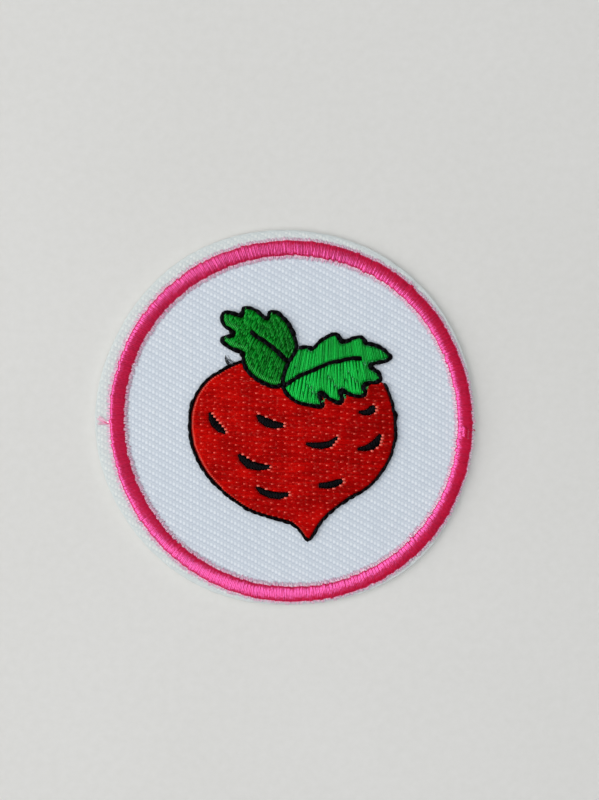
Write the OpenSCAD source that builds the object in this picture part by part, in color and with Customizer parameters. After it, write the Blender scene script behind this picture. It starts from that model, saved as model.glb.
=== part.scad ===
// Round iron-on patch: a twill disc on an adhesive film, a satin-stitched ring near its rim,
// and a stitched strawberry with two leaves. The patch lies flat, with its face towards +Z
// and the top of the picture towards +Y. The origin is the bottom centre.

/* [Body] */
// Outside diameter of the twill disc
disc_d = 50; // [49.8:0.1:51]
// Thickness of the twill with its stiffener
twill_t = 1; // [1:0.1:1.6]
// Thickness of the adhesive film under the twill
film_t = 0.15; // [0.1:0.05:0.3]
// Width of the rolled rim of the twill
rim_w = 0.22; // [0.1:0.02:0.24]

/* [Ring] */
// Outer radius of the satin ring
ring_r = 23.9; // [23.4:0.1:24]
// Width of the satin ring
ring_w = 2.15; // [1.6:0.05:2.6]
// Height of the ring above the twill
ring_h = 0.62; // [0.4:0.02:0.9]
// How far the ring sits off the disc's centre
ring_off = 0.75; // [0:0.05:0.8]

/* [Fruit and leaves] */
// Height of the fruit's fill above the twill
fill_h = 0.46; // [0.36:0.02:0.6]
// Height of the leaves' fill above the twill
leaf_h = 0.5; // [0.36:0.02:0.6]
// Width of the stitched outlines
line_w = 0.52; // [0.44:0.02:0.52]
// Height of the stitched outlines above the twill
line_h = 0.6; // [0.4:0.02:0.8]
// Width of the leaf veins
vein_w = 0.5; // [0.4:0.02:0.6]
// Height of the leaf veins above the twill
vein_h = 0.44; // [0.3:0.02:0.6]
// Height of the seeds above the twill
seed_h = 0.3; // [0.2:0.02:0.4]

/* [Hidden] */
// Gap between neighbouring fields of stitching
gap = 0.03;
// Largest turn between two points of a rounded corner, degrees
arc_step = 24;
// Sides of the disc and of the ring
disc_n = 96;
ring_n = 120;

top_z = film_t + twill_t;
line_r = line_w / 2;

// Lobes that pull the cut edge out of round: [number of lobes, height, angle of the first]
disc_lobes = [[2, 0.16, -26], [3, 0.17, -43], [4, 0.12, 41], [5, 0.08, 31], [6, 0.07, 5]];
// Lobes of the ring's two edges, in the same columns
ring_out_lobes = [[2, 0.155, -39], [3, 0.035, -55], [4, 0.045, -38]];
ring_in_lobes = [[2, 0.14, -29], [3, 0.045, 52], [4, 0.06, -35]];
// Centre of the disc in the drawing of the fruit, and the direction in which the ring is off it
disc_at = [0.17, -0.03];
ring_dir = -24;

// Edge of the twill, from its underside up: [distance in from the edge, part of its height]
rim_levels = [[0.1, 0], [0.02, 0.12], [0, 0.6], [0.2, 0.86], [1, 1]];
// Cross-section of the ring, from inside out: [part of its width, part of its height]
ring_section = [
    [0, 0], [0.02, 0.42], [0.12, 0.78], [0.3, 0.97],
    [0.5, 1], [0.7, 0.9], [0.87, 0.64], [0.98, 0.28], [1, 0]
];
// Cross-section of a stitched line: [part of half its width, part of its height]
line_section = [[-1, 0], [-0.8, 0.62], [0, 1], [0.8, 0.62], [1, 0]];

// Line round the fruit, from its upper left round the bottom: [x, y, corner radius]
berry_line = [
    [-6.04, 7.34, 0], [-8.00, 6.47, 4], [-9.95, 5.34, 3], [-11.24, 3.83, 5],
    [-12.16, 2.15, 5], [-12.53, -0.06, 8], [-12.51, -2.26, 8], [-11.90, -4.43, 8],
    [-10.79, -6.53, 8], [-9.50, -8.44, 8], [-7.34, -10.23, 9], [-5.46, -11.55, 5],
    [-4.40, -12.19, 4], [-2.00, -12.91, 9], [0.95, -13.70, 1.5], [2.14, -14.86, 3],
    [3.04, -16.34, 0.3], [4.14, -14.46, 4], [5.20, -12.92, 4], [6.68, -11.77, 4],
    [8.65, -10.25, 4], [10.62, -9.38, 4], [12.10, -7.90, 6], [13.54, -5.80, 5],
    [14.38, -3.66, 6], [14.59, -0.99, 8], [14.26, 1.30, 6], [13.72, 3.24, 6],
    [13.10, 4.56, 0]
];
// Points under the leaves that close the fruit's field: [x, y, corner radius]
berry_close = [[12.0, 5.9, 0], [8.0, 5.5, 0], [1.0, 4.6, 0], [-0.3, 4.7, 0], [-4.6, 7.8, 0]];

// Left leaf, anticlockwise from its base: [x, y, corner radius]
left_leaf = [
    [-0.42, 4.14, 0.5], [-0.27, 5.38, 2], [0.21, 6.70, 2], [0.48, 7.55, 2],
    [1.32, 8.61, 1.5], [1.66, 9.59, 1.5], [1.31, 10.68, 3], [0.75, 11.92, 3],
    [0.29, 12.79, 3], [-0.34, 13.42, 2], [-1.12, 14.01, 1], [-2.18, 14.15, 0.45],
    [-2.12, 13.00, 0.3], [-2.62, 13.10, 0.3], [-3.15, 13.81, 1.5], [-4.02, 14.33, 2],
    [-4.71, 14.57, 1.5], [-5.60, 14.65, 0.4], [-5.47, 13.09, 0.3], [-6.65, 13.82, 1.2],
    [-7.29, 13.95, 1], [-8.27, 13.90, 0.5], [-8.31, 12.96, 2], [-8.06, 12.24, 1.5],
    [-7.46, 11.75, 1.5], [-6.62, 11.46, 0.3], [-6.61, 10.92, 0.3], [-7.40, 10.81, 2],
    [-8.33, 10.63, 0.3], [-8.34, 10.04, 0.3], [-7.47, 9.50, 2], [-6.53, 8.97, 2],
    [-5.22, 8.71, 0.32], [-5.52, 7.98, 1], [-5.38, 7.25, 2], [-5.17, 6.66, 2],
    [-4.50, 5.91, 3], [-3.76, 5.18, 3], [-2.94, 4.70, 3], [-2.13, 4.33, 2], [-1.28, 4.17, 2]
];
// Right leaf, anticlockwise from its base to its top left: [x, y, corner radius]
right_leaf_line = [
    [-0.06, 3.72, 0], [0.49, 2.94, 1], [1.35, 2.26, 2], [2.36, 1.90, 2], [3.58, 1.72, 3],
    [5.42, 1.31, 0.34], [4.30, 3.30, 0.3], [4.84, 3.62, 0.3], [5.86, 2.45, 1.5],
    [7.99, 1.82, 0.36], [7.08, 3.62, 0.3], [7.60, 3.93, 0.3], [8.60, 3.03, 1.5],
    [11.00, 2.84, 0.5], [10.20, 4.30, 0.3], [10.61, 4.72, 0.3], [12.94, 4.80, 0.5],
    [12.33, 6.12, 1.2], [11.12, 6.62, 0.32], [11.14, 7.26, 0.32], [12.55, 7.32, 3],
    [14.34, 8.03, 0.32], [13.40, 8.65, 2], [12.66, 9.32, 2], [11.72, 9.66, 2],
    [10.40, 9.83, 0.35], [10.36, 10.83, 0.6], [9.40, 10.67, 2], [8.61, 10.39, 2],
    [7.35, 9.81, 0.3], [7.01, 11.16, 0.7], [6.28, 11.15, 1], [5.57, 10.75, 2],
    [4.78, 10.22, 2], [4.05, 9.68, 1.5], [3.50, 8.76, 0.36], [2.98, 9.54, 0.6],
    [1.98, 9.28, 0]
];
// Points under the left leaf that close the right leaf's field: [x, y, corner radius]
right_leaf_close = [[1.2, 9.2, 0], [0.6, 8.2, 0], [0.0, 6.5, 0], [-0.3, 4.8, 0]];

// Middle lines of the leaf veins: [x, y, corner radius]
left_vein = [
    [-4.47, 11.52, 0], [-3.70, 10.86, 3], [-2.50, 9.94, 3], [-1.20, 9.01, 3],
    [-0.07, 7.84, 0]
];
right_vein = [
    [0.33, 4.52, 0], [1.93, 5.64, 3], [3.70, 6.34, 4], [5.36, 7.12, 4], [7.10, 7.54, 4],
    [8.49, 7.86, 4], [10.05, 7.86, 0]
];

// Seeds, each from its left end to its right end: [x, y, width]
seed_lines = [
    [
        [-9.85, 0.78, 0.34], [-9.65, 0.06, 0.76], [-9.22, -0.66, 1.04],
        [-8.50, -1.39, 0.92], [-7.76, -1.88, 0.44]
    ],
    [
        [-3.63, 0.45, 0.34], [-3.17, -0.02, 0.90], [-2.36, -0.54, 1.14],
        [-1.28, -0.85, 1.02], [-0.08, -0.92, 0.50]
    ],
    [
        [-6.06, -4.72, 0.34], [-5.60, -5.26, 0.92], [-4.70, -6.04, 1.12],
        [-3.36, -6.38, 0.96], [-1.90, -6.38, 0.46]
    ],
    [
        [2.80, -3.32, 0.34], [3.70, -3.52, 0.72], [4.84, -3.58, 0.90],
        [5.96, -3.36, 0.82], [6.98, -2.42, 0.30]
    ],
    [
        [9.70, 0.86, 0.30], [10.34, 0.75, 0.62], [10.98, 0.83, 0.84],
        [11.48, 1.16, 1.08], [11.87, 1.57, 0.62]
    ],
    [
        [9.56, -4.02, 0.36], [10.50, -3.95, 0.68], [11.40, -3.67, 1.02],
        [12.10, -3.12, 1.04], [12.62, -2.12, 0.42]
    ],
    [
        [-3.74, -9.00, 0.32], [-3.03, -9.57, 0.80], [-1.97, -10.01, 0.94],
        [-0.74, -10.18, 0.90], [0.57, -9.94, 0.46]
    ],
    [
        [4.46, -8.82, 0.56], [5.35, -8.79, 0.86], [6.16, -8.71, 0.92],
        [6.96, -8.44, 0.88], [7.68, -8.10, 0.44]
    ]
];

// Plane geometry
function unit(v) = v / norm(v);
function left_of(v) = [-v.y, v.x];
function xy(row) = [row.x, row.y];
function turn(a, b) = atan2(a.x * b.y - a.y * b.x, a * b);
function spin(v, a) = [v.x * cos(a) - v.y * sin(a), v.x * sin(a) + v.y * cos(a)];
function sum(list, i = 0) = i < len(list) ? list[i] + sum(list, i + 1) : 0;

// Radius that the edges on either side of the corner q leave room for
function fit_radius(p, q, s, r) =
    let (t = abs(turn(q - p, s - q)))
    t < 1 ? 0 : min(r, 0.48 * min(norm(q - p), norm(s - q)) / tan(t / 2));

// Points of the rounded corner q between p and s
function corner(p, q, s, r) =
    let (a = unit(q - p), b = unit(s - q), t = turn(a, b))
    (r < 0.02 || abs(t) < 1) ? [q] :
    let (
        side = sign(t),
        centre = q - a * r * tan(abs(t) / 2) + left_of(a) * side * r,
        n = ceil(abs(t) / arc_step)
    )
    [for (k = [0 : n]) centre - spin(left_of(a), t * k / n) * side * r];

// Closed table of corners with the radii that fit
function fitted(t) =
    let (n = len(t))
    [for (i = [0 : n - 1])
        let (p = xy(t[(i + n - 1) % n]), q = xy(t[i]), s = xy(t[(i + 1) % n]))
        [q.x, q.y, fit_radius(p, q, s, t[i][2])]];

// The same table moved in by d, or out when d is negative
function moved_in(t, d) =
    let (n = len(t), f = fitted(t))
    [for (i = [0 : n - 1])
        let (
            p = xy(f[(i + n - 1) % n]), q = xy(f[i]), s = xy(f[(i + 1) % n]),
            a = left_of(unit(q - p)), b = left_of(unit(s - q)),
            m = q + (a + b) * d / (1 + a * b)
        )
        [m.x, m.y, max(0.06, f[i][2] - sign(turn(q - p, s - q)) * d)]];

// Points of a closed table and of an open one
function closed_path(t) =
    let (n = len(t))
    [for (i = [0 : n - 1])
        each corner(xy(t[(i + n - 1) % n]), xy(t[i]), xy(t[(i + 1) % n]), t[i][2])];
function open_path(t) =
    let (n = len(t))
    [
        xy(t[0]),
        for (i = [1 : n - 2])
            let (p = xy(t[i - 1]), q = xy(t[i]), s = xy(t[i + 1]))
            each corner(p, q, s, fit_radius(p, q, s, t[i][2])),
        xy(t[n - 1])
    ];

// Sideways direction at point i of a path, stretched so that parallel edges stay parallel
function side_at(path, i, closed) =
    let (
        n = len(path),
        p = path[closed ? (i + n - 1) % n : max(i - 1, 0)],
        q = path[i],
        s = path[closed ? (i + 1) % n : min(i + 1, n - 1)],
        a = left_of(unit(p == q ? s - q : q - p)),
        b = left_of(unit(s == q ? q - p : s - q))
    )
    (a + b) / (1 + a * b);

// A raised line on the twill, w wide at each point of the path and h high
module raised(path, widths, h, closed = false) {
    n = len(path);
    m = len(line_section);
    points = [for (i = [0 : n - 1])
        let (side = side_at(path, i, closed))
        for (c = line_section)
            let (p = path[i] - side * c.x * widths[i] / 2)
            [p.x, p.y, top_z + c.y * h * min(1, 0.35 + widths[i] / line_w * 0.65)]];
    spans = closed ? n : n - 1;
    sides = [for (i = [0 : spans - 1], j = [0 : m - 1])
        let (k = (i + 1) % n, l = (j + 1) % m)
        each [[i * m + j, k * m + j, k * m + l], [i * m + j, k * m + l, i * m + l]]];
    caps = closed ? [] : [
        for (j = [1 : m - 2]) [0, j, j + 1],
        for (j = [1 : m - 2]) [(n - 1) * m, (n - 1) * m + j + 1, (n - 1) * m + j]
    ];
    polyhedron(points, concat(sides, caps));
}

// A line of even width with narrowed ends
module stitched_line(t, w, h) {
    path = open_path(t);
    n = len(path);
    raised(path, [for (i = [0 : n - 1]) (i == 0 || i == n - 1) ? w * 0.6 : w], h);
}

// Distance from the centre to a lobed round edge in direction a
function lobed(r, lobes, a) = r + sum([for (l = lobes) l.y * cos(l.x * (a - l[2]))]);
function disc_r(a) = lobed(disc_d / 2, disc_lobes, a);
disc_edge = [for (i = [0 : disc_n - 1])
    let (a = i * 360 / disc_n)
    disc_at + disc_r(a) * [cos(a), sin(a)]];
// Middle of the disc's box, which goes to the origin
mid = [
    max([for (p = disc_edge) p.x]) + min([for (p = disc_edge) p.x]),
    max([for (p = disc_edge) p.y]) + min([for (p = disc_edge) p.y])
] / 2;
module placed() {
    translate([-mid.x, -mid.y, 0]) children();
}

// Fields of the fruit and of the leaves
berry_field = fitted(concat(berry_line, berry_close));
left_field = left_leaf;
right_field = fitted(concat(right_leaf_line, right_leaf_close));

module field(t, d, h) {
    translate([0, 0, top_z]) linear_extrude(height = h) polygon(closed_path(moved_in(t, d)));
}
// Room that a field leaves for a leaf and its outline
module room(t) {
    path = closed_path(fitted(t));
    translate([0, 0, top_z - 1]) linear_extrude(height = 4)
        polygon([for (i = [0 : len(path) - 1]) path[i] - side_at(path, i, true) * (line_r + gap)]);
}
// Room for a line or a seed: its outline and the gap, and a reach past its first and last points
module slot(path, widths, before = gap, after = gap) {
    n = len(path);
    long_path = [
        path[0] - unit(path[1] - path[0]) * before,
        for (i = [1 : n - 2]) path[i],
        path[n - 1] + unit(path[n - 1] - path[n - 2]) * after
    ];
    half = [for (w = widths) w / 2 + gap];
    translate([0, 0, top_z - 1]) linear_extrude(height = 4)
        polygon(concat(
            [for (i = [0 : n - 1]) long_path[i] + side_at(long_path, i, false) * half[i]],
            [for (i = [n - 1 : -1 : 0]) long_path[i] - side_at(long_path, i, false) * half[i]]
        ));
}

// Seeds
function seed_path(k) = [for (row = seed_lines[k]) xy(row)];
function seed_widths(k) = [for (row = seed_lines[k]) row[2]];
module seed(k) {
    color("#1c2322") placed() raised(seed_path(k), seed_widths(k), seed_h);
}

module adhesive_back() {
    color("#d9d8d2") placed() linear_extrude(height = film_t)
        polygon([for (p = disc_edge) p - unit(p - disc_at) * 0.12]);
}

module twill_disc() {
    n = disc_n;
    m = len(rim_levels);
    points = [for (level = rim_levels, p = disc_edge)
        let (q = p - unit(p - disc_at) * level.x * rim_w)
        [q.x, q.y, film_t + level.y * twill_t]];
    sides = [for (j = [0 : m - 2], i = [0 : n - 1])
        let (k = (i + 1) % n)
        each [[j * n + i, (j + 1) * n + k, j * n + k], [j * n + i, (j + 1) * n + i, (j + 1) * n + k]]];
    bottom = [for (i = [0 : n - 1]) i];
    top = [for (i = [n - 1 : -1 : 0]) (m - 1) * n + i];
    color("#e4e8ec") placed() polyhedron(points, concat(sides, [bottom, top]));
}

module satin_ring() {
    n = ring_n;
    m = len(ring_section);
    centre = disc_at + ring_off * [cos(ring_dir), sin(ring_dir)];
    points = [for (i = [0 : n - 1])
        let (
            a = i * 360 / n,
            inner = lobed(ring_r - ring_w, ring_in_lobes, a),
            outer = lobed(ring_r, ring_out_lobes, a)
        )
        for (c = ring_section)
            let (r = inner + (outer - inner) * c.x)
            [centre.x + r * cos(a), centre.y + r * sin(a), top_z + c.y * ring_h]];
    sides = [for (i = [0 : n - 1], j = [0 : m - 1])
        let (k = (i + 1) % n, l = (j + 1) % m)
        each [[i * m + j, k * m + j, k * m + l], [i * m + j, k * m + l, i * m + l]]];
    color("#d4145a") placed() polyhedron(points, sides);
}

module berry_fill() {
    color("#c4121c") placed() difference() {
        field(berry_field, line_r + gap, fill_h);
        room(left_field);
        room(right_field);
        for (k = [0 : len(seed_lines) - 1])
            slot(seed_path(k), seed_widths(k));
    }
}
module berry_outline() {
    color("#121516") placed() stitched_line(berry_line, line_w, line_h);
}

module vein_slot(t, before, after) {
    path = open_path(t);
    slot(path, [for (p = path) vein_w], before, after);
}
module leaf_left() {
    color("#1b8a35") placed() difference() {
        field(left_field, line_r + gap, leaf_h);
        vein_slot(left_vein, gap, 0.7);
    }
}
module leaf_right() {
    color("#2bb35f") placed() difference() {
        field(right_field, line_r + gap, leaf_h);
        room(left_field);
        vein_slot(right_vein, 0.5, gap);
    }
}
module leaf_left_outline() {
    path = closed_path(fitted(left_leaf));
    color("#121516") placed() raised(path, [for (p = path) line_w], line_h, closed = true);
}
module leaf_right_outline() {
    color("#121516") placed() stitched_line(right_leaf_line, line_w, line_h);
}
module leaf_left_vein() {
    color("#121516") placed() stitched_line(left_vein, vein_w, vein_h);
}
module leaf_right_vein() {
    color("#121516") placed() stitched_line(right_vein, vein_w, vein_h);
}
module seed_1() { seed(0); }
module seed_2() { seed(1); }
module seed_3() { seed(2); }
module seed_4() { seed(3); }
module seed_5() { seed(4); }
module seed_6() { seed(5); }
module seed_7() { seed(6); }
module seed_8() { seed(7); }

adhesive_back();
twill_disc();
satin_ring();
berry_fill();
berry_outline();
leaf_left();
leaf_right();
leaf_left_outline();
leaf_right_outline();
leaf_left_vein();
leaf_right_vein();
seed_1();
seed_2();
seed_3();
seed_4();
seed_5();
seed_6();
seed_7();
seed_8();
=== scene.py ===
import math

import bpy
import numpy as np
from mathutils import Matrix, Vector

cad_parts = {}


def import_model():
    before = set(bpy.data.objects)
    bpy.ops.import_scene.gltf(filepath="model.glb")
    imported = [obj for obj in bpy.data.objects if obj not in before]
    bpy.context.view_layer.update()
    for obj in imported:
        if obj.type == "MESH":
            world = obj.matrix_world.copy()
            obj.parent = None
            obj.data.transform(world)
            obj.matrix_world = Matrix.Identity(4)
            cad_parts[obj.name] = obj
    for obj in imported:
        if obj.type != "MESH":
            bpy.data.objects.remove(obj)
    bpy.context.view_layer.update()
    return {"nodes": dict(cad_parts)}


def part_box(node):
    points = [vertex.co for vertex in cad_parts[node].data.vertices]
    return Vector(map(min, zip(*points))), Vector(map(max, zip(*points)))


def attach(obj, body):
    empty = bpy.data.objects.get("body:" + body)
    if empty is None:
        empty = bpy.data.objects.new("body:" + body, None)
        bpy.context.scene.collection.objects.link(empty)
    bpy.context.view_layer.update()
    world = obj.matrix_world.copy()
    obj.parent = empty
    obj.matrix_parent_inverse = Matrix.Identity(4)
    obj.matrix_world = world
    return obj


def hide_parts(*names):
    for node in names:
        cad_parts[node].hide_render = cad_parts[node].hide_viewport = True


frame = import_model()
nodes = frame["nodes"]
rng = np.random.default_rng(11)

TWILL_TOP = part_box("twill_disc")[1].z * 1000
FILM_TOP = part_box("adhesive_back")[1].z * 1000
TAU = 2 * math.pi


# Camera and light
LENS, SENSOR = 51.4, 36                 # millimetres
CAMERA_AT = (0.00194, 0.00229, 0.1515)  # it looks straight down, from a little off the middle
WHITE, WARM = (0.985, 0.99, 1.0), (1.0, 0.995, 0.985)
SIDE = {"azimuth": 181, "elevation": 40, "distance": 0.7, "size": (0.77, 0.7), "colour": WARM}


def camera():
    data = bpy.data.cameras.new("camera")
    data.lens, data.sensor_width = LENS, SENSOR
    data.clip_start, data.clip_end = 0.01, 10
    cam = bpy.data.objects.new("camera", data)
    cam.location = CAMERA_AT
    bpy.context.scene.collection.objects.link(cam)
    bpy.context.scene.camera = cam


def area_light(name, azimuth, elevation, distance, size, colour, watts, diffuse=True, glossy=True):
    """A rectangular lamp that faces the origin. diffuse and glossy say which rays see it."""
    data = bpy.data.lights.new(name, "AREA")
    data.shape, data.size, data.size_y = "RECTANGLE", size[0], size[1]
    data.energy, data.color = watts, colour
    lamp = bpy.data.objects.new(name, data)
    a, e = math.radians(azimuth), math.radians(elevation)
    way = Vector((math.cos(a) * math.cos(e), math.sin(a) * math.cos(e), math.sin(e)))
    lamp.location = way * distance
    lamp.rotation_euler = way.to_track_quat("Z", "Y").to_euler()
    lamp.visible_diffuse, lamp.visible_glossy = diffuse, glossy
    bpy.context.scene.collection.objects.link(lamp)


def world(colour, strength):
    """Even light from all round, which glossy rays don't see."""
    w = bpy.data.worlds.new("studio")
    w.use_nodes = True
    back = w.node_tree.nodes["Background"]
    back.inputs["Color"].default_value = (*colour, 1)
    back.inputs["Strength"].default_value = strength
    w.cycles_visibility.glossy = False
    bpy.context.scene.world = w


camera()
world((0.90, 0.95, 1.0), 0.30)
area_light("fill", 90, 90, 1.0, (1.6, 1.6), WHITE, watts=5.9, glossy=False)
area_light("key", watts=2.35, **SIDE)
area_light("sheen", watts=9.2, diffuse=False, **SIDE)
bpy.context.scene.view_settings.view_transform = "Standard"


# Materials
def linear(r, g, b):
    """Linear colour of an sRGB colour given as 0 to 255."""
    def one(c):
        c /= 255
        return c / 12.92 if c <= 0.04045 else ((c + 0.055) / 1.055) ** 2.4
    return one(r), one(g), one(b), 1.0


class Nodes:
    """A material's node tree, with short calls for the nodes used here."""

    def __init__(self, name):
        self.material = bpy.data.materials.new(name)
        self.material.use_nodes = True
        self.tree = self.material.node_tree
        self.shader = self.tree.nodes["Principled BSDF"]

    def add(self, kind, links=None, **settings):
        n = self.tree.nodes.new(kind)
        for key, value in settings.items():
            setattr(n, key, value)
        for key, source in (links or {}).items():
            self.tree.links.new(source, n.inputs[key])
        return n

    def set(self, **values):
        """Set sockets of the shader, with _ for each space in their names."""
        for key, value in values.items():
            self.shader.inputs[key.replace("_", " ")].default_value = value

    def link(self, source, key):
        self.tree.links.new(source, self.shader.inputs[key])

    def place(self):
        return self.add("ShaderNodeTexCoord").outputs["Object"]

    def attribute(self, name):
        return self.add("ShaderNodeAttribute", attribute_name=name).outputs["Fac"]

    def noise(self, vector, scale, detail=2.0, roughness=0.5):
        n = self.add("ShaderNodeTexNoise", {"Vector": vector})
        n.inputs["Scale"].default_value = scale
        n.inputs["Detail"].default_value = detail
        n.inputs["Roughness"].default_value = roughness
        return n.outputs["Fac"]

    def scaled(self, vector, x, y, z):
        n = self.add("ShaderNodeMapping", {"Vector": vector})
        n.inputs["Scale"].default_value = (x, y, z)
        return n.outputs["Vector"]

    def math(self, operation, a, b=0.0, c=0.0):
        """A math node. Each of a, b and c is a number or an output."""
        n = self.add("ShaderNodeMath", operation=operation)
        for i, value in enumerate((a, b, c)):
            if isinstance(value, (int, float)):
                n.inputs[i].default_value = value
            else:
                self.tree.links.new(value, n.inputs[i])
        return n.outputs[0]

    def blend(self, a, b, share):
        """a and b added up, with share of b."""
        return self.math("ADD", self.math("MULTIPLY", a, 1 - share), self.math("MULTIPLY", b, share))

    def ramp(self, factor, stops):
        """Colour by factor, from (place, sRGB colour) stops."""
        n = self.add("ShaderNodeValToRGB", {"Fac": factor})
        r = n.color_ramp
        while len(r.elements) < len(stops):
            r.elements.new(0.5)
        for e, (at, colour) in zip(r.elements, stops):
            e.position, e.color = at, linear(*colour)
        return n.outputs["Color"]

    def mix(self, factor, a, b):
        """From a to b by factor. Each is a number, a linear colour or an output."""
        n = self.add("ShaderNodeMix", data_type="RGBA")
        for socket, value in ((n.inputs[0], factor), (n.inputs[6], a), (n.inputs[7], b)):
            if isinstance(value, (int, float, tuple)):
                socket.default_value = value
            else:
                self.tree.links.new(value, socket)
        return n.outputs[2]

    def bump(self, height, distance, strength=1.0):
        n = self.add("ShaderNodeBump", {"Height": height})
        n.inputs["Distance"].default_value = distance
        n.inputs["Strength"].default_value = strength
        self.link(n.outputs["Normal"], "Normal")


TWIST = 0.62  # length of one turn of a thread's twist


def thread_material(name, body, shine, tip, level=0.8, ior=1.8, sheen=0.2, contrast=0.35, mottle=0.45,
                    glint_flecks=0.0):
    """Shiny twisted thread. Its UV is (round the thread, millimetres along it). body is its dark,
    middle and light colour, and tip the colour of its painted highlights: the glint near its
    ends and the glint_flecks scattered over it. contrast is how much the colour changes from
    stitch to stitch, and mottle from place to place."""
    n = Nodes(name)
    uv = n.add("ShaderNodeUVMap", uv_map="thread").outputs["UV"]
    place = n.place()
    split = n.add("ShaderNodeSeparateXYZ", {"Vector": uv})
    twisted = n.math("MULTIPLY", split.outputs["Y"], TAU / TWIST)
    around = n.math("MULTIPLY", split.outputs["X"], TAU)
    wave = n.math("SINE", n.math("ADD", twisted, around))
    fibres = n.noise(n.scaled(uv, 14, 0.9, 1), 1.0, 3.0, 0.6)  # fine lines along the thread
    patches = n.noise(place, 420, 2.0)
    mixed = n.math("MULTIPLY_ADD", n.attribute("tone"), contrast, 0.5 - contrast / 2)
    mixed = n.math("ADD", mixed, n.math("MULTIPLY_ADD", patches, mottle, -mottle / 2))
    mixed = n.math("ADD", mixed, n.math("MULTIPLY_ADD", fibres, 0.30, -0.15))
    mixed = n.math("ADD", mixed, n.math("MULTIPLY", wave, 0.05))
    colour = n.ramp(mixed, list(zip((0.2, 0.5, 0.8), body)))
    # painted highlights: flecks of the tip colour where the noise is high
    caught = n.math("MULTIPLY_ADD", n.noise(place, 2700, 1.0), 4.0, -2.35)
    caught = n.math("MULTIPLY", n.add("ShaderNodeClamp", {"Value": caught}).outputs[0], glint_flecks)
    # the tip colour goes where the painted highlights are
    n.link(n.mix(n.math("MAXIMUM", n.attribute("worn"), caught), colour, linear(*tip)), "Base Color")
    n.bump(n.math("ADD", n.math("MULTIPLY", wave, 0.5), n.math("MULTIPLY", fibres, 0.8)), 0.00001)
    n.set(Roughness=0.46, Specular_IOR_Level=level, Specular_Tint=linear(*shine), IOR=ior,
          Anisotropic=0.82, Sheen_Weight=sheen, Sheen_Roughness=0.4, Sheen_Tint=linear(*shine))
    tangent = n.add("ShaderNodeTangent", direction_type="UV_MAP", uv_map="thread")
    n.link(tangent.outputs["Tangent"], "Tangent")
    return n.material


RING = thread_material(
    "ring_thread", ((208, 0, 22), (234, 0, 33), (246, 4, 48)), shine=(255, 136, 234),
    tip=(255, 180, 208), level=1.0, ior=2.2, sheen=0.02)
RED = thread_material(
    "fruit_thread", ((146, 0, 2), (183, 0, 4), (216, 8, 6)), shine=(255, 60, 38),
    tip=(255, 128, 112), level=0.65, ior=1.7, sheen=0.015, contrast=0.28, mottle=0.8, glint_flecks=0.16)
GREEN_L = thread_material(
    "left_leaf_thread", ((0, 80, 8), (0, 116, 20), (2, 150, 40)), shine=(60, 220, 90),
    tip=(72, 196, 92), level=0.7, ior=1.7, sheen=0.06, contrast=0.45, mottle=0.5)
GREEN_R = thread_material(
    "right_leaf_thread", ((0, 116, 27), (0, 156, 44), (8, 186, 66)), shine=(60, 240, 110),
    tip=(110, 222, 155), level=0.7, ior=1.7, sheen=0.06, contrast=0.5, mottle=0.75, glint_flecks=0.12)
BLACK = thread_material(
    "dark_thread", ((5, 2, 3), (11, 6, 8), (20, 14, 16)), shine=(90, 108, 118),
    tip=(60, 70, 72), level=0.32, ior=1.5, sheen=0.0)
# pale pink fibres at the ring's holes: their colour is painted highlight and a painted pink glow, where
# the crimson thread bends into the cloth
FRINGE_GLOW = thread_material(
    "fringe_thread", ((255, 160, 204), (255, 208, 230), (255, 240, 248)), shine=(255, 225, 240),
    tip=(255, 240, 246), level=0.6, ior=1.5, sheen=0.7, contrast=0.8)
PINK = thread_material(
    "loose_thread", ((246, 160, 194), (251, 196, 216), (254, 222, 234)), shine=(255, 225, 240),
    tip=(255, 230, 240), level=0.6, ior=1.5, sheen=0.1)


def twill_material():
    """White cloth with painted shade in its grooves, greener outside the ring, and a painted pink glow
    beside the ring, where the ring throws its light.
    """
    n = Nodes("twill")
    place = n.place()
    yarns = n.noise(n.scaled(place, 2227, 60, 60), 1.0, 1.0)
    patches = n.noise(place, 160, 3.0)
    lint_and_pink_glow = n.noise(n.scaled(place, 9000, 2600, 3000), 1.0, 3.0, 0.65)
    groove_shade = n.attribute("relief_shade")
    rim = n.attribute("rim")
    both = n.math("ADD", n.math("MULTIPLY", yarns, 0.35), n.math("MULTIPLY", patches, 0.35))
    both = n.math("ADD", both, n.math("MULTIPLY", lint_and_pink_glow, 0.30))
    cool = n.ramp(both, [(0.25, (232, 239, 247)), (0.5, (240, 246, 252)), (0.75, (247, 250, 254))])
    # painted shade: the cloth is darker where the weave is low
    cloth = n.mix(groove_shade, linear(198, 208, 220), cool)
    cloth = n.mix(rim, cloth, n.mix(groove_shade, linear(208, 216, 216), linear(236, 240, 236)))
    # painted pink glow: the light that the ring throws onto the cloth beside it
    cloth = n.mix(n.math("MULTIPLY", n.attribute("lint_and_pink_glow"), 0.5), cloth, linear(246, 196, 218))
    n.link(cloth, "Base Color")
    n.bump(lint_and_pink_glow, 0.000018)
    n.set(Roughness=0.78, Specular_IOR_Level=0.35, Sheen_Weight=0.35, Sheen_Roughness=0.5,
          Sheen_Tint=linear(245, 248, 255))
    return n.material


def floor_material():
    n = Nodes("floor")
    place = n.place()
    cloud = n.noise(place, 12, 4.0, 0.6)
    grain = n.noise(place, 900, 2.0, 0.6)
    both = n.blend(cloud, grain, 0.4)
    n.link(n.ramp(both, [(0.3, (228, 226, 221)), (0.7, (236, 234, 230))]), "Base Color")
    n.bump(grain, 0.00003, 0.4)
    n.set(Roughness=0.85, Specular_IOR_Level=0.2)
    return n.material


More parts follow.
